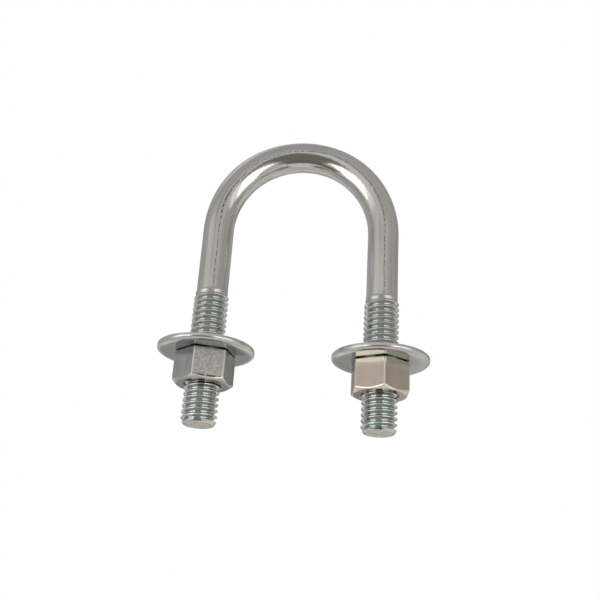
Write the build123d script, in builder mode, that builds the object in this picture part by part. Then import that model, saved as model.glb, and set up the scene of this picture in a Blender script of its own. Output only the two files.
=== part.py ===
from build123d import *
import math
import os

os.makedirs("parts", exist_ok=True)

# A round U-bolt with 3/8-16 UNC legs, and a flat washer and a hex nut on each leg.
# Frame: +Z up along the legs, the U in the XZ plane, origin midway between the rod ends.

# Driving dimensions, in millimetres
INCH = 25.4
SHANK = 8.5  # the plain rod: a rolled thread starts from a rod of about its pitch diameter
INSIDE_WIDTH = 1.5 * INCH
OVERALL_HEIGHT = 85.5
THREAD_MAJOR = 9.45  # 3/8 in, less the allowance for plating
PITCH = INCH / 16
THREAD_LENGTH = 36.6  # threads of full height, from the rod end
THREAD_PLAY = 0.12  # radial, between the flanks of rod and nut
NUT_FLATS = 9 / 16 * INCH
NUT_HEIGHT = 8.7
WASHER_DIA = 26.0
WASHER_HOLE = 7 / 16 * INCH
WASHER_THICK = 1.7

# Each leg: its side of the U, the height of the washer's underside, and the turn of the nut's flats
LEGS = {
    "left": {"side": -1, "seat": 19.3, "turn": 18.4},
    "right": {"side": 1, "seat": 18.7, "turn": -24.2},
}

# The U, worked out from the above
LEG_X = (INSIDE_WIDTH + SHANK) / 2
BEND_HEIGHT = OVERALL_HEIGHT - SHANK / 2 - LEG_X
RUN_OUT = 1.0  # cone from the thread's crests down to the shank
END_CHAMFER = 0.9

# Threads: 60 degree flanks with flat crests and roots
FLANK_SLOPE = math.tan(math.radians(30))
ROD_CREST = THREAD_MAJOR / 2
ROD_ROOT = ROD_CREST - 0.585 * PITCH
ROD_PITCH_RADIUS = ROD_CREST - 0.325 * PITCH
NUT_PITCH_RADIUS = ROD_PITCH_RADIUS + THREAD_PLAY
NUT_CREST = ROD_CREST - 0.425 * PITCH
NUT_ROOT = ROD_CREST + THREAD_PLAY
CUT_PAST = 0.1  # a groove's profile reaches this far past the crests that it cuts
TIP_RADIUS = ROD_ROOT - 0.1

# Nut and washer edges
NUT_FACE_RADIUS = 0.48 * NUT_FLATS
NUT_CORNER_RADIUS = NUT_FLATS / math.sqrt(3)
CORNER_DROP = (NUT_CORNER_RADIUS - NUT_FACE_RADIUS) * FLANK_SLOPE
COUNTERSINK = 1.1
NUT_SPARE = 3 * PITCH  # length of blank past each face of the finished nut
WASHER_ROUND = 0.7
WASHER_BURR = 0.2


def groove_half_width(radius, pitch_radius, opens_outward):
    """Half the axial width of a thread's groove at a radius."""
    slope = FLANK_SLOPE if opens_outward else -FLANK_SLOPE
    return PITCH / 4 + (radius - pitch_radius) * slope


def groove_outline(x, z, inner, outer, pitch_radius, opens_outward):
    """Corners of a groove's profile beside the axis at x, centred at height z."""
    at_inner = groove_half_width(inner, pitch_radius, opens_outward)
    at_outer = groove_half_width(outer, pitch_radius, opens_outward)
    return [
        (x + inner, z - at_inner),
        (x + outer, z - at_outer),
        (x + outer, z + at_outer),
        (x + inner, z + at_inner),
    ]


# U-bolt: one bent rod with a thread on each leg
with BuildPart() as u_bolt:
    with BuildLine(Plane.XZ):
        Line((-LEG_X, THREAD_LENGTH), (-LEG_X, BEND_HEIGHT))
        CenterArc((0, BEND_HEIGHT), LEG_X, 180, -180)
        Line((LEG_X, BEND_HEIGHT), (LEG_X, THREAD_LENGTH))
    with BuildSketch(Plane.XY.offset(THREAD_LENGTH)):
        with Locations((-LEG_X, 0)):
            Circle(SHANK / 2)
    sweep()

    for leg in LEGS.values():
        leg_x = leg["side"] * LEG_X
        with BuildSketch(Plane.XZ):
            with BuildLine():
                Polyline(
                    (leg_x, 0),
                    (leg_x + TIP_RADIUS, 0),
                    (leg_x + ROD_CREST, END_CHAMFER),
                    (leg_x + ROD_CREST, THREAD_LENGTH),
                    (leg_x + SHANK / 2, THREAD_LENGTH + RUN_OUT),
                    (leg_x, THREAD_LENGTH + RUN_OUT),
                    close=True,
                )
            make_face()
        revolve(axis=Axis((leg_x, 0, 0), (0, 0, 1)))

        with BuildLine() as groove_path:
            Helix(PITCH, THREAD_LENGTH + PITCH, ROD_PITCH_RADIUS, center=(leg_x, 0, -PITCH))
        with BuildSketch(Plane.XZ):
            with BuildLine():
                Polyline(
                    *groove_outline(leg_x, -PITCH, ROD_ROOT, ROD_CREST + CUT_PAST, ROD_PITCH_RADIUS, True),
                    close=True,
                )
            make_face()
        sweep(path=groove_path.wires()[0], is_frenet=True, mode=Mode.SUBTRACT)

u_bolt.part.label = "u_bolt"
export_step(u_bolt.part, "parts/u_bolt.step")


for name, leg in LEGS.items():
    leg_x = leg["side"] * LEG_X
    seat = leg["seat"]
    bottom = seat - NUT_HEIGHT

    # Washer: punched disc, its lower rim rolled over by the die and its upper edges deburred.
    # Its own x direction points away from the other leg
    with BuildPart() as washer:
        with BuildSketch(Plane((leg_x, 0, seat), x_dir=(leg["side"], 0, 0))):
            Circle(WASHER_DIA / 2)
            Circle(WASHER_HOLE / 2, mode=Mode.SUBTRACT)
        extrude(amount=WASHER_THICK)
        rims = washer.edges().filter_by(GeomType.CIRCLE)
        fillet(rims.group_by(Axis.Z)[0].sort_by(SortBy.RADIUS)[-1], WASHER_ROUND)
        chamfer(rims.group_by(Axis.Z)[-1], WASHER_BURR)
    washer.part.label = name + "_washer"
    export_step(washer.part, "parts/" + name + "_washer.step")

    # Nut: the groove is cut in an over-long blank, which the turned outline then trims
    with BuildPart() as nut:
        with BuildSketch(Plane.XY.offset(bottom - NUT_SPARE)):
            with Locations((leg_x, 0)):
                RegularPolygon(NUT_FLATS / 2, 6, major_radius=False, rotation=leg["turn"])
                Circle(NUT_CREST, mode=Mode.SUBTRACT)
        extrude(amount=NUT_HEIGHT + 2 * NUT_SPARE)

        # It follows the rod's crest, half a pitch above the rod's groove, so the two mesh
        start = (math.floor(bottom / PITCH) - 0.5) * PITCH
        with BuildLine() as groove_path:
            Helix(PITCH, NUT_HEIGHT + 2 * PITCH, NUT_PITCH_RADIUS, center=(leg_x, 0, start))
        with BuildSketch(Plane.XZ):
            with BuildLine():
                Polyline(
                    *groove_outline(leg_x, start, NUT_CREST - CUT_PAST, NUT_ROOT, NUT_PITCH_RADIUS, False),
                    close=True,
                )
            make_face()
        sweep(path=groove_path.wires()[0], is_frenet=True, mode=Mode.SUBTRACT)

        # Both faces chamfered round the corners and countersunk round the thread
        with BuildSketch(Plane.XZ):
            with BuildLine():
                Polyline(
                    (leg_x + NUT_CREST - COUNTERSINK, bottom + 2 * COUNTERSINK),
                    (leg_x + NUT_CREST + COUNTERSINK, bottom),
                    (leg_x + NUT_FACE_RADIUS, bottom),
                    (leg_x + NUT_CORNER_RADIUS, bottom + CORNER_DROP),
                    (leg_x + NUT_CORNER_RADIUS, seat - CORNER_DROP),
                    (leg_x + NUT_FACE_RADIUS, seat),
                    (leg_x + NUT_CREST + COUNTERSINK, seat),
                    (leg_x + NUT_CREST - COUNTERSINK, seat - 2 * COUNTERSINK),
                    close=True,
                )
            make_face()
        revolve(axis=Axis((leg_x, 0, 0), (0, 0, 1)), mode=Mode.INTERSECT)
    nut.part.label = name + "_nut"
    export_step(nut.part, "parts/" + name + "_nut.step")
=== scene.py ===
import math

import bmesh
import bpy
import numpy as np
from mathutils import Matrix, Vector


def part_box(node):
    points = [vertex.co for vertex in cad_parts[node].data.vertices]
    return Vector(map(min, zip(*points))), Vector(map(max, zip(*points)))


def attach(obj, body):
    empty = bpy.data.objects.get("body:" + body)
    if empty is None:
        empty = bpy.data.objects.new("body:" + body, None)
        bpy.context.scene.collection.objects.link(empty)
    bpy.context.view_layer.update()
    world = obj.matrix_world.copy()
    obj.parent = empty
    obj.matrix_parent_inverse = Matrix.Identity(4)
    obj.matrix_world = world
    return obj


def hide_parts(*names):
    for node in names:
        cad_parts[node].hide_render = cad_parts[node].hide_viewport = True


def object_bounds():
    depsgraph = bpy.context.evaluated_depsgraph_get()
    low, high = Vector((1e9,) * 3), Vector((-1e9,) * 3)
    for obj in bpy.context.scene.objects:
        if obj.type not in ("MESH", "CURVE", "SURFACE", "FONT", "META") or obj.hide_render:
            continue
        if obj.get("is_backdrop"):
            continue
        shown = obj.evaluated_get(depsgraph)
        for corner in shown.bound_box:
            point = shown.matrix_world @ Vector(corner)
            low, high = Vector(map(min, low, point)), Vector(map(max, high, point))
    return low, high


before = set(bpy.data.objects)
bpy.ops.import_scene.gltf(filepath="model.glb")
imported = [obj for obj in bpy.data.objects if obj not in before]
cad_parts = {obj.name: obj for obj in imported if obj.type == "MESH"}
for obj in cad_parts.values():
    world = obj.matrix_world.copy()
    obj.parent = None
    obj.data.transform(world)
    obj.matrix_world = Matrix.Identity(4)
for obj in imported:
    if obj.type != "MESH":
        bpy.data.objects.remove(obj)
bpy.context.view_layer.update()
MM = 0.001

# Sizes that the frame gives
rod_low, rod_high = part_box("u_bolt")
ROD_TOP = rod_high[2]
THREAD_MAJOR = rod_high[1] - rod_low[1]
LEG_X = rod_high[0] - THREAD_MAJOR / 2

# Sizes shared with the CAD model that no box shows
SHANK_R = 4.28 * MM
PITCH = 25.4 / 16 * MM
THREAD_END = 36.6 * MM
THREAD_PLAY = 0.12 * MM
NUT_FLATS = 9 / 16 * 25.4 * MM
WASHER_HOLE_R = 7 / 32 * 25.4 * MM
BEND_Z = ROD_TOP - SHANK_R - LEG_X
LEGS = {"left": -LEG_X, "right": LEG_X}

COLUMNS = 96  # vertices round the rod
TAN_30 = math.tan(math.radians(30))


# ---------------------------------------------------------------- mesh helpers

def make_object(name, vertices, faces, attributes, sharp_degrees=38.0):
    """A welded, smooth-shaded mesh with its steeper edges kept sharp."""
    mesh = bpy.data.meshes.new(name)
    mesh.from_pydata([tuple(v) for v in vertices], [], [tuple(f) for f in faces])
    for attribute, values in attributes.items():
        layer = mesh.attributes.new(attribute, "FLOAT_VECTOR", "POINT")
        layer.data.foreach_set("vector", np.asarray(values, dtype=np.float32).ravel())
    bm = bmesh.new()
    bm.from_mesh(mesh)
    bmesh.ops.remove_doubles(bm, verts=bm.verts, dist=0.002 * MM)
    bmesh.ops.dissolve_degenerate(bm, edges=bm.edges, dist=0.0005 * MM)
    bmesh.ops.recalc_face_normals(bm, faces=bm.faces)
    for face in bm.faces:
        face.smooth = True
    limit = math.radians(sharp_degrees)
    for edge in bm.edges:
        if len(edge.link_faces) == 2 and edge.calc_face_angle(0.0) > limit:
            edge.smooth = False
    bm.to_mesh(mesh)
    bm.free()
    obj = bpy.data.objects.new(name, mesh)
    bpy.context.scene.collection.objects.link(obj)
    return obj


class Shell:
    """Vertices and faces gathered piece by piece.

    Each vertex also keeps "laid", its place on the piece before bending, and three more values: how deep it
    lies in a thread, which the materials use for painted shade (on a washer, how much painted reflection of
    the nut it gets instead), how much of a bare cut end it is, and how much of an edge it is, which the nuts
    use for brighter edges that are partly wear and partly a painted highlight.
    """

    def __init__(self):
        self.vertices = []
        self.laid = []
        self.wear_and_shade = []
        self.faces = []

    def add_points(self, points, laid, wear_and_shade):
        first = len(self.vertices)
        self.vertices.extend(points.reshape(-1, 3))
        self.laid.extend(laid.reshape(-1, 3))
        self.wear_and_shade.extend(wear_and_shade.reshape(-1, 3))
        return first

    def add_grid(self, points, laid, wear_and_shade=None, shift=0):
        """A tube of rows of points. The last column meets the first one, shift rows further on."""
        rows, columns = points.shape[:2]
        first = self.add_points(points, laid, np.zeros_like(points) if wear_and_shade is None else wear_and_shade)
        for j in range(columns):
            k = (j + 1) % columns
            step = shift if k == 0 else 0
            for i in range(rows - 1):
                far = i + step
                if far < 0 or far + 1 >= rows:
                    continue
                a = first + i * columns + j
                b = first + far * columns + k
                self.faces.append((a, b, b + columns, a + columns))

    def add_cap(self, ring, laid, centre, laid_centre, dents):
        """A cut end that closes a ring of points, dented a little."""
        columns = len(ring)
        steps = np.linspace(1.0, 0.12, 9)
        points = np.array([[centre + (p - centre) * s for p in ring] for s in steps])
        flat = np.array([[laid_centre + (p - laid_centre) * s for p in laid] for s in steps])
        points[1:, :, 2] += dents * np.random.default_rng(7).random((len(steps) - 1, columns))
        wear_and_shade = np.zeros_like(points)
        wear_and_shade[:, :, 1] = 1.0
        self.add_grid(points, flat, wear_and_shade)
        inner = len(self.vertices) - columns
        tip = self.add_points(centre[None, :], laid_centre[None, :], np.array([[0, 1.0, 0]]))
        for j in range(columns):
            self.faces.append((inner + j, inner + (j + 1) % columns, tip))

    def to_object(self, name, sharp_degrees=38.0):
        attributes = {"laid": self.laid, "wear_and_shade": self.wear_and_shade}
        return make_object(name, self.vertices, self.faces, attributes, sharp_degrees)


def filleted(corners, radii, steps=4):
    """A 2-D outline through the corners, each one rounded by its radius."""
    out = []
    last = len(corners) - 1
    for i, corner in enumerate(corners):
        p = np.array(corner, float)
        if i in (0, last) or radii[i] == 0:
            out.append(p)
            continue
        a = np.array(corners[i - 1], float) - p
        b = np.array(corners[i + 1], float) - p
        a_len, b_len = np.linalg.norm(a), np.linalg.norm(b)
        a, b = a / a_len, b / b_len
        half = math.acos(max(-1.0, min(1.0, float(a @ b)))) / 2
        cut = min(radii[i] / math.tan(half), 0.49 * a_len, 0.49 * b_len)
        radius = cut * math.tan(half)
        middle = p + (a + b) / np.linalg.norm(a + b) * radius / math.sin(half)
        start, end = p + a * cut - middle, p + b * cut - middle
        sweep = math.pi - 2 * half
        for s in range(steps + 1):
            t = s / steps
            w0 = math.sin((1 - t) * sweep) / math.sin(sweep)
            w1 = math.sin(t * sweep) / math.sin(sweep)
            out.append(middle + start * w0 + end * w1)
    return np.array(out)


def smoothstep(low, high, x):
    t = np.clip((x - low) / (high - low), 0.0, 1.0)
    return t * t * (3 - 2 * t)


# ---------------------------------------------------------------- thread

PROFILE_STEPS = [0.0, 0.05, 0.10, 0.14, 0.19, 0.25, 0.31, 0.36, 0.40, 0.44, 0.47]
PROFILE_PHASES = PROFILE_STEPS + [0.5] + [1 - p for p in PROFILE_STEPS[:0:-1]]


def thread_profile(crest, root, pitch_radius, rounding):
    """Radius over one pitch of a 60 degree thread, groove at phase 0, with worn-off corners."""
    fine = 480
    phase = np.arange(fine) / fine
    from_groove = np.minimum(phase, 1 - phase) * PITCH
    radius = np.clip(pitch_radius + (from_groove - PITCH / 4) / TAN_30, root, crest)
    offsets = np.arange(-fine // 2, fine // 2) * PITCH / fine
    kernel = np.exp(-0.5 * (offsets / rounding) ** 2)
    kernel /= kernel.sum()
    smooth = np.real(np.fft.ifft(np.fft.fft(radius) * np.fft.fft(np.fft.ifftshift(kernel))))
    return phase, smooth


def helical_grid(angles, low, high, first_phase):
    """Heights and phases of a grid that follows the thread: rows along the helix, clamped at both ends."""
    turns_low = math.floor(low / PITCH) - 2
    turns_high = math.ceil(high / PITCH) + 1
    base, phases = [], []
    for turn in range(turns_low, turns_high):
        for phase in PROFILE_PHASES:
            base.append((turn + phase + first_phase) * PITCH)
            phases.append(phase)
    heights = np.array(base)[:, None] + (angles / (2 * math.pi) * PITCH)[None, :]
    clamped = np.clip(heights, low, high)
    # Where a row is clamped, the thread is cut across, so its phase moves on
    phase_grid = np.array(phases)[:, None] + (clamped - heights) / PITCH
    return clamped, np.mod(phase_grid, 1.0)


def interpolate(phase_grid, profile):
    phase, radius = profile
    return np.interp(phase_grid, np.append(phase, 1.0), np.append(radius, radius[0]))


# ---------------------------------------------------------------- U-bolt rod

ROD_CREST = THREAD_MAJOR / 2
ROD_ROOT = ROD_CREST - 0.585 * PITCH
ROD_PITCH_R = ROD_CREST - 0.325 * PITCH
RUN_OUT_TOP = THREAD_END + 0.9 * MM
RUN_OUT_START = THREAD_END - 1.5 * MM
TIP_R = 3.8 * MM
TIP_HEIGHT = 1.4 * MM
FLATTER = 1.5 * MM  # the bow is this much taller than a half circle, and starts this much lower


def add_leg_thread(shell, side, arc_at_top):
    """The threaded end of one leg, from the sheared tip to the plain shank."""
    x = side * LEG_X
    angles = np.arange(COLUMNS) / COLUMNS * 2 * math.pi
    heights, phases = helical_grid(angles, 0.0, RUN_OUT_TOP, 0.0)
    radius = interpolate(phases, thread_profile(ROD_CREST + 0.04 * MM, ROD_ROOT, ROD_PITCH_R, 0.04 * MM))
    full = 1 - smoothstep(RUN_OUT_START, RUN_OUT_TOP, heights)
    groove = 1 - smoothstep(RUN_OUT_START - 0.8 * MM, RUN_OUT_TOP - 0.7 * MM, heights)
    radius = SHANK_R + np.maximum(radius - SHANK_R, 0) * full + np.minimum(radius - SHANK_R, 0) * groove
    tip = TIP_R + (ROD_CREST - TIP_R) * np.sqrt(np.clip(heights / TIP_HEIGHT, 0, 1))
    radius = np.minimum(radius, tip)
    whole = smoothstep(0.3 * MM, 1.2 * MM, heights)  # the shearing has closed the last groove up
    radius = np.minimum(ROD_CREST, tip) * (1 - whole) + radius * whole
    cos, sin = np.cos(angles)[None, :], np.sin(angles)[None, :]
    points = np.stack([x + radius * cos, radius * sin, heights], axis=-1)
    laid = np.stack([side * radius * cos, radius * sin, arc_at_top + side * (RUN_OUT_TOP - heights)], axis=-1)
    wear_and_shade = np.zeros_like(points)
    depth = np.maximum(np.minimum(ROD_CREST, tip) - radius, 0)
    wear_and_shade[:, :, 0] = depth / (ROD_CREST - ROD_ROOT) * np.minimum(1, full * 1.5)
    wear_and_shade[:, :, 2] = full
    shell.add_grid(points, laid, wear_and_shade, shift=len(PROFILE_PHASES))
    ring = np.stack([x + TIP_R * cos[0], TIP_R * sin[0], 0 * angles], axis=-1)
    flat = np.stack([TIP_R * cos[0], TIP_R * sin[0], 0 * angles + arc_at_top + side * RUN_OUT_TOP], axis=-1)
    shell.add_cap(ring, flat, np.array([x, 0, 0.0]), np.array([0, 0, flat[0][2]]), 0.07 * MM)


def bow_path():
    """Points, outward normals and arc lengths along the centre line, left thread to right thread."""
    bend_z, rise = BEND_Z - FLATTER, LEG_X + FLATTER
    path = [((-LEG_X, z), (-1.0, 0.0)) for z in np.linspace(RUN_OUT_TOP, bend_z, 20, endpoint=False)]
    for turn in np.linspace(math.pi, 0, 161):
        cos, sin = math.cos(turn), math.sin(turn)
        length = math.hypot(rise * cos, LEG_X * sin)
        path.append(((LEG_X * cos, bend_z + rise * sin), (rise * cos / length, LEG_X * sin / length)))
    path += [((LEG_X, z), (1.0, 0.0)) for z in np.linspace(bend_z, RUN_OUT_TOP, 21)[1:]]
    places = np.array([p for p, _ in path])
    arcs = np.concatenate([[0.0], np.cumsum(np.linalg.norm(np.diff(places, axis=0), axis=1))])
    return [(p, n, arc) for (p, n), arc in zip(path, arcs)]


def upset(place):
    """How much thicker bending has left the rod, on the outside of its left and right shoulders."""
    extra = 0.0
    for x, z, amount in ((-15.5, 75.0, 0.34), (15.5, 75.0, 0.20)):
        away = math.hypot(place[0] / MM - x, place[1] / MM - z)
        extra += amount * MM * math.exp(-((away / 10.5) ** 2))
    return extra


def build_rod():
    shell = Shell()
    path = bow_path()
    around = np.arange(COLUMNS) / COLUMNS * 2 * math.pi
    cos, sin = np.cos(around) * SHANK_R, np.sin(around) * SHANK_R
    points, laid = [], []
    for (x, z), (out_x, out_z), arc in path:
        outward = cos + upset((x, z)) * (1 + cos / SHANK_R) / 2
        points.append(np.stack([x + outward * out_x, sin, z + outward * out_z], axis=-1))
        laid.append(np.stack([cos, sin, np.full(COLUMNS, arc)], axis=-1))
    shell.add_grid(np.array(points), np.array(laid))
    add_leg_thread(shell, -1, 0.0)
    add_leg_thread(shell, 1, path[-1][2])
    return shell.to_object("threaded_rod")


# ---------------------------------------------------------------- nuts

def hex_radius(angle, turn, corner_round):
    """Distance from the axis to a hexagon with rounded corners, flats facing -Y before the turn."""
    flat = NUT_FLATS / 2
    off = (angle - turn) % (math.pi / 3)
    from_corner = min(off, math.pi / 3 - off)
    centre = (flat - corner_round) / math.cos(math.pi / 6)
    reach = math.atan(corner_round * 0.5 / (centre + corner_round * math.cos(math.pi / 6)))
    if from_corner < reach:
        side = centre * math.sin(from_corner)
        return centre * math.cos(from_corner) + math.sqrt(corner_round ** 2 - side ** 2)
    return flat / math.cos(math.pi / 6 - from_corner)


COLLAR = 0.11 * MM  # height of the bearing face above the hexagon


def build_nut(name, x, seat, height, turn, corner_round, top_slope):
    from_corner = [0.0, 0.5, 1.05, 2.2, 4.5, 8.0, 12.0, 16.5, 21.0, 25.5]
    angles = []
    for corner in range(6):
        for step in from_corner + [30.0] + [60 - a for a in from_corner[:0:-1]]:
            angles.append(turn + math.radians(60 * corner + step))
    angles = np.array(angles)
    half = [1.0, 1.0, 1.0] + [0.0] * (len(from_corner) - 3)
    from_corner_edge = np.array(half + [0.0] + half[:0:-1])
    bottom = seat - height
    face_r = 0.48 * NUT_FLATS
    collar_r = 0.462 * NUT_FLATS
    sink_r = 5.15 * MM
    shell = Shell()
    columns = []
    for angle in angles:
        outer = hex_radius(angle, turn, corner_round)
        drop = (outer - face_r) * TAN_30
        shoulder = seat - COLLAR
        top = shoulder - (outer - collar_r) * top_slope
        corners = [
            (sink_r, bottom), (face_r, bottom), (outer, bottom + drop),
            (outer, bottom + drop + 0.5 * MM), (outer, top - 0.4 * MM),
            (outer, top), (collar_r, shoulder), (collar_r, seat), (sink_r, seat),
        ]
        columns.append(filleted(corners, [0, 0.15 * MM, corner_round, 0, 0, 0.22 * MM, 0, 0.05 * MM, 0]))
    section = np.array(columns)
    cos, sin = np.cos(angles)[:, None], np.sin(angles)[:, None]
    points = np.stack([x + section[:, :, 0] * cos, section[:, :, 0] * sin, section[:, :, 1]], axis=-1)
    points = points.transpose(1, 0, 2)
    steps = 4
    edge = np.zeros(len(points))
    edge[2 + steps:3 + 2 * steps] = 1.0
    edge[1 + steps] = 0.6
    wear_and_shade = np.zeros_like(points)
    wear_and_shade[:, :, 2] = np.maximum(edge[:, None], np.tile(from_corner_edge, 6)[None, :])
    shell.add_grid(points, points - np.array([x, 0, bottom]), wear_and_shade)

    # Thread and countersinks
    wrapped = np.mod(angles, 2 * math.pi)
    order = np.argsort(wrapped)
    bore_angles = wrapped[order]
    heights, phases = helical_grid(bore_angles, bottom, seat, 0.0)
    crest = ROD_CREST - 0.425 * PITCH
    profile = thread_profile(ROD_CREST + THREAD_PLAY, crest, ROD_PITCH_R + THREAD_PLAY, 0.05 * MM)
    radius = interpolate(phases, profile)
    sink = np.maximum(sink_r - (heights - bottom), sink_r - (seat - heights))
    radius = np.maximum(radius, sink)
    cos, sin = np.cos(bore_angles)[None, :], np.sin(bore_angles)[None, :]
    bore = np.stack([x + radius * cos, radius * sin, heights], axis=-1)
    wear_and_shade = np.zeros_like(bore)
    wear_and_shade[:, :, 0] = (radius - crest) / (ROD_CREST + THREAD_PLAY - crest) * (radius < sink_r * 0.98)
    shell.add_grid(bore, bore - np.array([x, 0, bottom]), wear_and_shade, shift=len(PROFILE_PHASES))
    return shell.to_object(name, 40.0)


# ---------------------------------------------------------------- washers

def build_washer(name, x, seat, outer_r, thick, painted_nut_reflection_amount):
    """A punched ring, its lower rim rolled over by the die, with a painted dark reflection of the nut on its
    front.
    """
    top = seat + thick
    roll_width, roll_height = 1.9 * MM, 0.9 * MM
    upper = [
        (outer_r, seat + roll_height), (outer_r, top), (WASHER_HOLE_R, top),
        (WASHER_HOLE_R, seat), (outer_r - roll_width, seat),
    ]
    rolled = [
        (outer_r - roll_width * (1 - math.sin(turn)), seat + roll_height * (1 - math.cos(turn)))
        for turn in np.linspace(0, math.pi / 2, 15)
    ]
    section = np.concatenate([filleted(upper, [0, 0.25 * MM, 0.2 * MM, 0.2 * MM, 0], steps=5), rolled[1:]])
    columns = 180
    angles = np.arange(columns) / columns * 2 * math.pi
    cos, sin = np.cos(angles)[None, :], np.sin(angles)[None, :]
    radius, height = section[:, 0][:, None], section[:, 1][:, None]
    points = np.stack([x + radius * cos, radius * sin, height + 0 * cos], axis=-1)
    wear_and_shade = np.zeros_like(points)
    wear_and_shade[:, :, 2] = smoothstep(outer_r - 1.2 * MM, outer_r - 0.2 * MM, radius)
    wear_and_shade[:, :, 0] = painted_nut_reflection_amount
    shell = Shell()
    shell.add_grid(points, points - np.array([x, 0, seat]), wear_and_shade)
    return shell.to_object(name, 50.0)


# ---------------------------------------------------------------- materials

class Look:
    """Node material for zinc plate, with shortcuts for the node types it uses."""

    def __init__(self, name, seed):
        self.material = bpy.data.materials.new(name)
        self.material.use_nodes = True
        tree = self.material.node_tree
        self.nodes, self.links = tree.nodes, tree.links
        self.shader = self.nodes["Principled BSDF"]
        self.shader.inputs["Metallic"].default_value = 1.0
        self.shader.inputs["Specular Tint"].default_value = (0.72, 0.73, 0.76, 1.0)
        self.seed = seed
        self.laid = self.attribute("laid")
        wear_and_shade = self.nodes.new("ShaderNodeSeparateXYZ")
        self.links.new(self.attribute("wear_and_shade"), wear_and_shade.inputs["Vector"])
        self.depth, self.cut, self.edge = wear_and_shade.outputs["X"], wear_and_shade.outputs["Y"], wear_and_shade.outputs["Z"]

    def attribute(self, name):
        node = self.nodes.new("ShaderNodeAttribute")
        node.attribute_name = name
        return node.outputs["Vector"]

    def connect(self, value, socket):
        if isinstance(value, (int, float)):
            socket.default_value = value
        elif isinstance(value, tuple):
            socket.default_value = (*value, 1.0)
        else:
            self.links.new(value, socket)

    def noise(self, scale, detail, stretch, shift=0.0):
        mapping = self.nodes.new("ShaderNodeMapping")
        mapping.inputs["Scale"].default_value = stretch
        mapping.inputs["Location"].default_value = (self.seed + shift, self.seed * 0.7, self.seed * 1.3)
        self.links.new(self.laid, mapping.inputs["Vector"])
        texture = self.nodes.new("ShaderNodeTexNoise")
        texture.inputs["Scale"].default_value = scale
        texture.inputs["Detail"].default_value = detail
        self.links.new(mapping.outputs["Vector"], texture.inputs["Vector"])
        return texture.outputs["Fac"]

    def math(self, operation, a, b=0.0):
        node = self.nodes.new("ShaderNodeMath")
        node.operation = operation
        self.connect(a, node.inputs[0])
        self.connect(b, node.inputs[1])
        return node.outputs["Value"]

    def ramp(self, value, low, high, to_low=0.0, to_high=1.0):
        node = self.nodes.new("ShaderNodeMapRange")
        node.interpolation_type = "SMOOTHSTEP"
        self.links.new(value, node.inputs["Value"])
        for name, number in (("From Min", low), ("From Max", high), ("To Min", to_low), ("To Max", to_high)):
            node.inputs[name].default_value = number
        return node.outputs["Result"]

    def mix(self, factor, a, b):
        node = self.nodes.new("ShaderNodeMix")
        node.data_type = "RGBA"
        self.connect(factor, node.inputs["Factor"])
        self.connect(a, node.inputs[6])
        self.connect(b, node.inputs[7])
        return node.outputs[2]

    def finish(self, color, roughness, height, bump_distance, strength=0.3):
        self.links.new(color, self.shader.inputs["Base Color"])
        self.links.new(roughness, self.shader.inputs["Roughness"])
        bump = self.nodes.new("ShaderNodeBump")
        bump.inputs["Strength"].default_value = strength
        bump.inputs["Distance"].default_value = bump_distance
        self.links.new(height, bump.inputs["Height"])
        self.links.new(bump.outputs["Normal"], self.shader.inputs["Normal"])
        return self.material


# The rod's draw seam, on its front, as far outwards on the left leg and on the right one
SEAM_X = (-0.17 * SHANK_R, 0.06 * SHANK_R)


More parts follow.
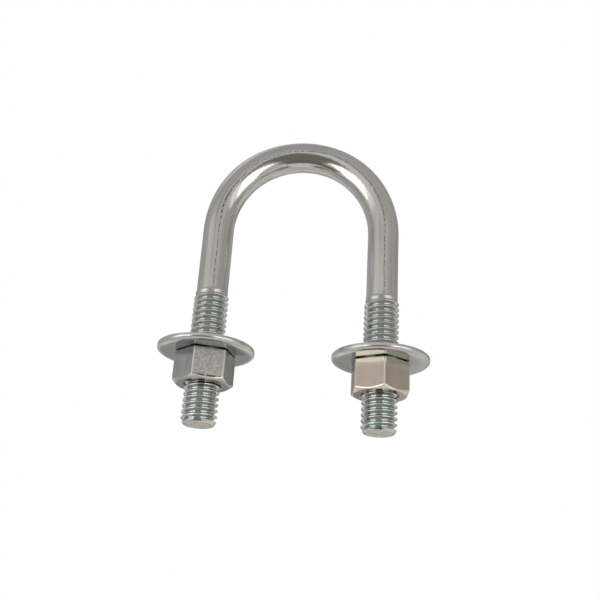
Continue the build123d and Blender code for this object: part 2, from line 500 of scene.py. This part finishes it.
def rod_look():
    """Drawn rod: lengthwise streaks, a broken dark seam, thread grooves tinted darker and greener (partly the
    plating's own tint, partly painted shade), bare cut ends.
    """
    look = Look("rod_zinc", 1.0)
    clouds = look.noise(160.0, 5.0, (1, 1, 0.35))
    streaks = look.noise(1500.0, 4.0, (1, 1, 0.04))
    grain = look.noise(5200.0, 2.0, (1, 1, 0.6))
    color = look.mix(look.ramp(clouds, 0.35, 0.68), (0.65, 0.635, 0.61), (0.715, 0.695, 0.66))
    color = look.mix(look.ramp(streaks, 0.30, 0.46, 0.35, 0.0), color, (0.40, 0.385, 0.36))

    place = look.nodes.new("ShaderNodeSeparateXYZ")
    look.links.new(look.laid, place.inputs["Vector"])
    wander = look.math("MULTIPLY", look.math("SUBTRACT", look.noise(130.0, 3.0, (0, 0, 1)), 0.5), 0.9 * MM)
    middle = look.ramp(place.outputs["Z"], 20 * MM, 95 * MM, *SEAM_X)
    off = look.math("SUBTRACT", look.math("SUBTRACT", place.outputs["X"], middle), wander)
    off = look.math("ABSOLUTE", off)
    bend = look.ramp(place.outputs["Z"], 25 * MM, 44 * MM, 1.0, 0.0)
    bend = look.math("MULTIPLY", bend, look.ramp(place.outputs["Z"], 14 * MM, 28 * MM))
    narrow = look.math("SUBTRACT", 1.0, look.math("MULTIPLY", bend, 0.62))
    off = look.math("MULTIPLY", off, narrow)
    front = look.ramp(place.outputs["Y"], -1.0 * MM, 0.0, 1.0, 0.0)
    line = look.math("MULTIPLY", look.ramp(off, 0.06 * MM, 0.16 * MM, 1.0, 0.0), front)
    dashes = look.ramp(look.noise(1100.0, 4.0, (0, 0, 1), 4.0), 0.42, 0.53)
    plain = look.ramp(look.edge, 0.0, 0.1, 1.0, 0.0)
    seam = look.math("MULTIPLY", look.math("MULTIPLY", line, dashes), plain)
    color = look.mix(look.math("MULTIPLY", seam, 0.85), color, (0.10, 0.092, 0.075))

    crest = look.math("MULTIPLY", look.ramp(look.depth, 0.05, 0.22, 1.0, 0.0), look.edge)
    color = look.mix(crest, color, (0.80, 0.755, 0.69))
    # Darker, greener tint deep in the thread grooves: partly the thinner plating's own tint, partly painted
    # shade in the grooves.
    color = look.mix(look.ramp(look.depth, 0.15, 0.75, 0.0, 0.85), color, (0.54, 0.615, 0.615))
    specks = look.math("MULTIPLY", look.ramp(look.noise(520.0, 3.0, (1, 1, 1), 7.0), 0.64, 0.70), look.edge)
    color = look.mix(look.math("MULTIPLY", specks, 0.6), color, (0.24, 0.18, 0.13))
    shear = look.ramp(look.noise(900.0, 4.0, (1, 1, 1)), 0.35, 0.65)
    cut_color = look.mix(shear, (0.78, 0.745, 0.69), (0.97, 0.93, 0.87))
    color = look.mix(look.cut, color, cut_color)

    fading = look.math("MULTIPLY", look.ramp(look.edge, 0.0, 0.05), look.ramp(look.edge, 0.8, 1.0, 1.0, 0.0))
    color = look.mix(look.math("MULTIPLY", fading, 0.6), color, (0.58, 0.555, 0.515))
    roughness = look.ramp(streaks, 0.3, 0.7, 0.085, 0.165)
    roughness = look.math("ADD", roughness, look.math("MULTIPLY", fading, 0.26))
    roughness = look.math("ADD", roughness, look.math("MULTIPLY", look.cut, 0.3))
    height = look.math("ADD", streaks, look.math("MULTIPLY", grain, 0.5))
    height = look.math("ADD", height, look.math("MULTIPLY", seam, -1.5))
    crown = look.ramp(place.outputs["Z"], 26 * MM, 44 * MM)
    crown = look.math("MULTIPLY", crown, look.ramp(place.outputs["Z"], 84 * MM, 104 * MM, 1.0, 0.0))
    scuffs = look.noise(2000.0, 2.0, (1, 1, 0.6), 3.0)
    height = look.math("ADD", height, look.math("MULTIPLY", crown, look.math("MULTIPLY", scuffs, 4.0)))
    return look.finish(color, roughness, height, 0.02 * MM)


def sheet_look():
    """Washers: smooth plate with faint clouds, a warmer rolled rim."""
    look = Look("washer_zinc", 2.0)
    clouds = look.noise(220.0, 4.0, (1, 1, 1))
    grain = look.noise(3600.0, 3.0, (1, 1, 1))
    color = look.mix(look.ramp(clouds, 0.35, 0.65), (0.60, 0.62, 0.595), (0.66, 0.67, 0.645))
    color = look.mix(look.math("MULTIPLY", look.edge, 0.8), color, (0.74, 0.70, 0.685))
    place = look.nodes.new("ShaderNodeSeparateXYZ")
    look.links.new(look.laid, place.inputs["Vector"])
    reach = look.nodes.new("ShaderNodeVectorMath")
    reach.operation = "LENGTH"
    look.links.new(look.laid, reach.inputs[0])
    # A dark greenish band painted on the washer's front next to the nut: a painted reflection of the nut and
    # its shade.
    painted_nut_reflection = look.math("MULTIPLY", look.depth, look.ramp(reach.outputs["Value"], 10.3 * MM, 11.4 * MM, 1.0, 0.0))
    painted_nut_reflection = look.math("MULTIPLY", painted_nut_reflection, look.ramp(place.outputs["X"], -3.6 * MM, -2.6 * MM))
    painted_nut_reflection = look.math("MULTIPLY", painted_nut_reflection, look.ramp(place.outputs["Y"], -1.0 * MM, 0.0, 1.0, 0.0))
    color = look.mix(painted_nut_reflection, color, (0.37, 0.395, 0.37))
    roughness = look.ramp(grain, 0.3, 0.7, 0.12, 0.20)
    roughness = look.math("ADD", roughness, look.math("MULTIPLY", look.edge, 0.07))
    return look.finish(color, roughness, look.math("ADD", clouds, grain), 0.012 * MM)


def nut_look(name, seed, dark, light, edge_color, smooth, rough, dull_flat=None, top_reflection_color=None, under=None):
    """Nuts: mottled flats, brighter edges (partly worn, partly a painted highlight), a bore thread darkened
    as painted shade with some grease, and optionally a cream band near the top that is a painted reflection.
    One flat can be dull and nicked.
    """
    look = Look(name, seed)
    mottle = look.noise(420.0, 5.0, (1, 1, 0.6))
    grain = look.noise(4200.0, 2.0, (1, 1, 1))
    color = look.mix(look.ramp(mottle, 0.32, 0.68), dark, light)
    roughness = look.ramp(mottle, 0.3, 0.7, smooth, rough)
    height = look.math("MULTIPLY", grain, 0.5)
    place = look.nodes.new("ShaderNodeSeparateXYZ")
    look.links.new(look.laid, place.inputs["Vector"])
    if dull_flat is not None:
        side = look.nodes.new("ShaderNodeVectorMath")
        side.operation = "DOT_PRODUCT"
        look.links.new(look.laid, side.inputs[0])
        side.inputs[1].default_value = (math.sin(dull_flat), -math.cos(dull_flat), 0.0)
        dull = look.ramp(side.outputs["Value"], 0.485 * NUT_FLATS, 0.497 * NUT_FLATS)
        sand = look.noise(2000.0, 5.0, (1, 1, 0.7), 5.0)
        sand_color = look.mix(look.ramp(sand, 0.36, 0.64), (0.43, 0.405, 0.38), (0.585, 0.56, 0.535))
        color = look.mix(dull, color, sand_color)
        roughness = look.math("ADD", roughness, look.math("MULTIPLY", dull, 0.14))
        height = look.math("ADD", height, look.math("MULTIPLY", dull, look.math("MULTIPLY", sand, 1.6)))
        low = look.ramp(place.outputs["Z"], 0.55 * MM, 0.75 * MM)
        low = look.math("MULTIPLY", low, look.ramp(place.outputs["Z"], 1.0 * MM, 1.35 * MM, 1.0, 0.0))
        chips = look.ramp(look.noise(750.0, 3.0, (1, 1, 0.5), 9.0), 0.38, 0.47)
        nick = look.math("MULTIPLY", look.math("MULTIPLY", low, dull), chips)
        color = look.mix(nick, color, (0.13, 0.115, 0.11))
        height = look.math("ADD", height, look.math("MULTIPLY", nick, -1.5))
    if top_reflection_color is not None:
        # A cream band painted near the top of the nut: a painted reflection of light off the washer.
        color = look.mix(look.ramp(place.outputs["Z"], 5.6 * MM, 7.7 * MM), color, top_reflection_color)
    # Edges and rounded corners made lighter: worn metal, and in part a painted highlight.
    color = look.mix(look.math("MULTIPLY", look.edge, 0.85), color, edge_color)
    if under is not None:
        low = look.ramp(place.outputs["Z"], 0.25 * MM, 0.55 * MM, 0.85, 0.0)
        color = look.mix(low, color, under)
    # Bore thread darkened towards its roots: painted shade inside the bore, with some grease.
    color = look.mix(look.ramp(look.depth, 0.1, 0.6, 0.0, 0.9), color, (0.16, 0.17, 0.165))
    return look.finish(color, roughness, height, 0.03 * MM)


# ---------------------------------------------------------------- camera

def aim_camera():
    yaw, elevation, roll = math.radians(-3.654), math.radians(22.351), math.radians(3.642)
    distance = 0.230
    target = Vector((1.019 * MM, 0.0, 36.17 * MM))
    ahead = math.cos(elevation)
    forward = Vector((math.sin(yaw) * ahead, math.cos(yaw) * ahead, math.sin(elevation)))
    level = Vector((math.cos(yaw), -math.sin(yaw), 0.0))
    rise = level.cross(forward)
    right = level * math.cos(roll) + rise * math.sin(roll)
    up = rise * math.cos(roll) - level * math.sin(roll)
    camera = bpy.data.cameras.new("camera")
    camera.sensor_width = 36.0
    camera.lens = 50.4804
    camera.clip_start = 0.01
    obj = bpy.data.objects.new("camera", camera)
    bpy.context.scene.collection.objects.link(obj)
    turn = Matrix((right, up, -forward)).transposed().to_4x4()
    obj.matrix_world = Matrix.Translation(target - forward * distance) @ turn
    bpy.context.scene.camera = obj


# ---------------------------------------------------------------- light

class Room:
    """The studio as the metal sees it: soft-edged panels laid over an even grey."""

    def __init__(self, color):
        world = bpy.data.worlds.new("studio")
        bpy.context.scene.world = world
        world.use_nodes = True
        self.nodes, self.links = world.node_tree.nodes, world.node_tree.links
        self.nodes.clear()
        place = self.nodes.new("ShaderNodeTexCoord")
        self.direction = place.outputs["Generated"]
        self.color = (*color, 1.0)

    def math(self, operation, a, b=0.0):
        node = self.nodes.new("ShaderNodeMath")
        node.operation = operation
        for value, socket in ((a, node.inputs[0]), (b, node.inputs[1])):
            if isinstance(value, (int, float)):
                socket.default_value = value
            else:
                self.links.new(value, socket)
        return node.outputs["Value"]

    def along(self, axis):
        node = self.nodes.new("ShaderNodeVectorMath")
        node.operation = "DOT_PRODUCT"
        self.links.new(self.direction, node.inputs[0])
        node.inputs[1].default_value = axis
        return node.outputs["Value"]

    def panel(self, azimuth, elevation, half_width, half_height, soft, color):
        """Degrees; azimuth 0 is the camera's side (-Y), positive towards +X."""
        az, el = math.radians(azimuth), math.radians(elevation)
        ahead = Vector((math.sin(az) * math.cos(el), -math.cos(az) * math.cos(el), math.sin(el)))
        level = Vector((math.cos(az), math.sin(az), 0.0))
        facing = self.along(ahead)
        mask = self.math("GREATER_THAN", facing, 0.02)
        for axis, half in ((level, half_width), (level.cross(ahead), half_height)):
            off = self.math("ABSOLUTE", self.math("DIVIDE", self.along(axis), facing))
            fade = self.nodes.new("ShaderNodeMapRange")
            fade.interpolation_type = "SMOOTHSTEP"
            fade.inputs["From Min"].default_value = math.tan(math.radians(max(1.0, half - soft)))
            fade.inputs["From Max"].default_value = math.tan(math.radians(half + soft))
            fade.inputs["To Min"].default_value = 1.0
            fade.inputs["To Max"].default_value = 0.0
            self.links.new(off, fade.inputs["Value"])
            mask = self.math("MULTIPLY", mask, fade.outputs["Result"])
        mix = self.nodes.new("ShaderNodeMix")
        mix.data_type = "RGBA"
        self.links.new(mask, mix.inputs["Factor"])
        if isinstance(self.color, tuple):
            mix.inputs[6].default_value = self.color
        else:
            self.links.new(self.color, mix.inputs[6])
        mix.inputs[7].default_value = (*color, 1.0)
        self.color = mix.outputs[2]

    def finish(self):
        """Seen directly, the room is plain white."""
        room = self.nodes.new("ShaderNodeBackground")
        self.links.new(self.color, room.inputs["Color"])
        white = self.nodes.new("ShaderNodeBackground")
        white.inputs["Color"].default_value = (1, 1, 1, 1)
        ray = self.nodes.new("ShaderNodeLightPath")
        mix = self.nodes.new("ShaderNodeMixShader")
        out = self.nodes.new("ShaderNodeOutputWorld")
        self.links.new(ray.outputs["Is Camera Ray"], mix.inputs["Fac"])
        self.links.new(room.outputs["Background"], mix.inputs[1])
        self.links.new(white.outputs["Background"], mix.inputs[2])
        self.links.new(mix.outputs["Shader"], out.inputs["Surface"])


def make_world():
    room = Room((0.55, 0.545, 0.53))
    room.panel(10, 68, 70, 36, 7, (0.43, 0.43, 0.43))  # ceiling in front
    room.panel(85, 30, 40, 34, 12, (0.43, 0.42, 0.405))  # right wall
    room.panel(-108, -5, 22, 45, 10, (0.43, 0.445, 0.455))  # left wall, in shade
    room.panel(128, -18, 30, 30, 12, (0.66, 0.63, 0.58))
    room.panel(168, -18, 18, 34, 8, (0.56, 0.545, 0.50))
    room.panel(-162, -15, 22, 24, 8, (0.66, 0.67, 0.66))
    room.panel(-170, -18, 16, 7, 3, (0.385, 0.385, 0.375))
    room.panel(-178, -34, 30, 6, 4, (0.82, 0.79, 0.73))
    room.panel(165, -18, 11, 7, 3, (0.67, 0.66, 0.64))
    room.panel(148, 15, 14, 8, 4, (0.33, 0.335, 0.32))
    room.panel(-170, 20, 12, 9, 5, (0.42, 0.36, 0.325))
    room.panel(-130, 62, 26, 12, 8, (0.80, 0.80, 0.81))
    room.panel(-25, 14, 42, 10, 6, (0.68, 0.67, 0.645))
    room.panel(0, -88, 50, 18, 6, (0.66, 0.67, 0.675))  # pale table below
    room.panel(8, 3, 13, 8, 3, (0.30, 0.295, 0.27))
    room.panel(-50, 26, 16, 8, 6, (0.64, 0.62, 0.595))
    room.panel(108, 26, 12, 14, 6, (0.37, 0.38, 0.38))
    room.panel(-50, 8, 19, 6, 3, (0.92, 0.91, 0.88))  # the softboxes' upper edges
    room.panel(44, 8, 19, 6, 3, (1.0, 0.99, 0.97))
    room.panel(-4, -33, 22, 36, 2.5, (0.175, 0.17, 0.145))  # the camera's side, unlit
    room.panel(-22, -56, 36, 9, 5, (0.15, 0.148, 0.132))
    room.finish()


def softbox(name, azimuth, elevation, half_width, half_height, radiance):
    """A rectangular light of a given brightness, sized in degrees as seen from the part."""
    reach = 0.7
    az, el = math.radians(azimuth), math.radians(elevation)
    toward = Vector((math.sin(az) * math.cos(el), -math.cos(az) * math.cos(el), math.sin(el)))
    light = bpy.data.lights.new(name, "AREA")
    light.shape = "RECTANGLE"
    light.size = 2 * reach * math.tan(math.radians(half_width))
    light.size_y = 2 * reach * math.tan(math.radians(half_height))
    light.energy = radiance * math.pi * light.size * light.size_y
    light.color = (1.0, 0.99, 0.965)
    obj = bpy.data.objects.new(name, light)
    obj.location = Vector((0, 0, 0.045)) + toward * reach
    obj.rotation_mode = "QUATERNION"
    obj.rotation_quaternion = toward.to_track_quat("Z", "Y")
    obj.visible_camera = False
    bpy.context.scene.collection.objects.link(obj)


def build_floor():
    """A pale floor, below the camera."""
    half_side = 1.2
    steps = 8
    bm = bmesh.new()
    bmesh.ops.create_grid(bm, x_segments=steps, y_segments=steps, size=half_side)
    bmesh.ops.translate(bm, verts=bm.verts, vec=(0, 0, -0.16))
    mesh = bpy.data.meshes.new("floor")
    bm.to_mesh(mesh)
    bm.free()
    floor = bpy.data.objects.new("floor", mesh)
    bpy.context.scene.collection.objects.link(floor)
    material = bpy.data.materials.new("floor_pale")
    material.use_nodes = True
    shader = material.node_tree.nodes["Principled BSDF"]
    shader.inputs["Base Color"].default_value = (0.82, 0.82, 0.81, 1)
    shader.inputs["Roughness"].default_value = 0.8
    mesh.materials.append(material)
    floor.visible_glossy = False
    floor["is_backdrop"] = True


# ---------------------------------------------------------------- assembly

aim_camera()
make_world()
build_floor()
bpy.context.scene.view_settings.view_transform = "Standard"
softbox("softbox_left", -51, -13.5, 20, 18.5, 1.15)
softbox("softbox_right", 47.5, -11, 22.5, 15, 1.15)
softbox("strip_left", -34, -9, 4.5, 15, 1.0)
softbox("strip_right", 29, -12, 3, 16, 1.3)

turns = {"left": math.radians(18.4), "right": math.radians(-24.2)}
looks = {
    "left": (nut_look(
        "nut_zinc", 3.0, (0.50, 0.485, 0.475), (0.58, 0.565, 0.545), (0.86, 0.83, 0.78), 0.16, 0.26,
        dull_flat=turns["left"], under=(0.53, 0.49, 0.435),
    ), "nut_zinc"),
    "right": (nut_look(
        "nut_bright", 4.0, (0.60, 0.512, 0.44), (0.635, 0.54, 0.47), (0.88, 0.83, 0.75), 0.11, 0.16,
        # Cream top band: a painted reflection of light off the washer.
        top_reflection_color=(0.70, 0.645, 0.54),
    ), "nut_bright"),
}
washer_zinc = sheet_look()


def place(piece, material, body, node, slot):
    piece.data.materials.append(material)
    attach(piece, body)
    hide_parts(node)


place(build_rod(), rod_look(), "u_bolt", "u_bolt", "rod_zinc")
corner_rounds = {"left": 0.42 * MM, "right": 0.48 * MM}
top_slopes = {"left": 0.06, "right": 0.09}
# How strongly each washer gets the painted dark reflection of its nut.
painted_nut_reflection_amount = {"left": 1.0, "right": 0.25}
for side, x in LEGS.items():
    low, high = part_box(side + "_washer")
    outer_r = (high[0] - low[0]) / 2
    # The last argument sets the washer's painted nut reflection.
    washer = build_washer(side + "_flat_washer", x, low[2], outer_r, high[2] - low[2], painted_nut_reflection_amount[side])
    place(washer, washer_zinc, side + "_washer", side + "_washer", "washer_zinc")
    low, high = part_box(side + "_nut")
    edges = (corner_rounds[side], top_slopes[side])
    nut = build_nut(side + "_hex_nut", x, high[2], high[2] - low[2], turns[side], *edges)
    material, slot = looks[side]
    place(nut, material, side + "_nut", side + "_nut", slot)

low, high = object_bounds()
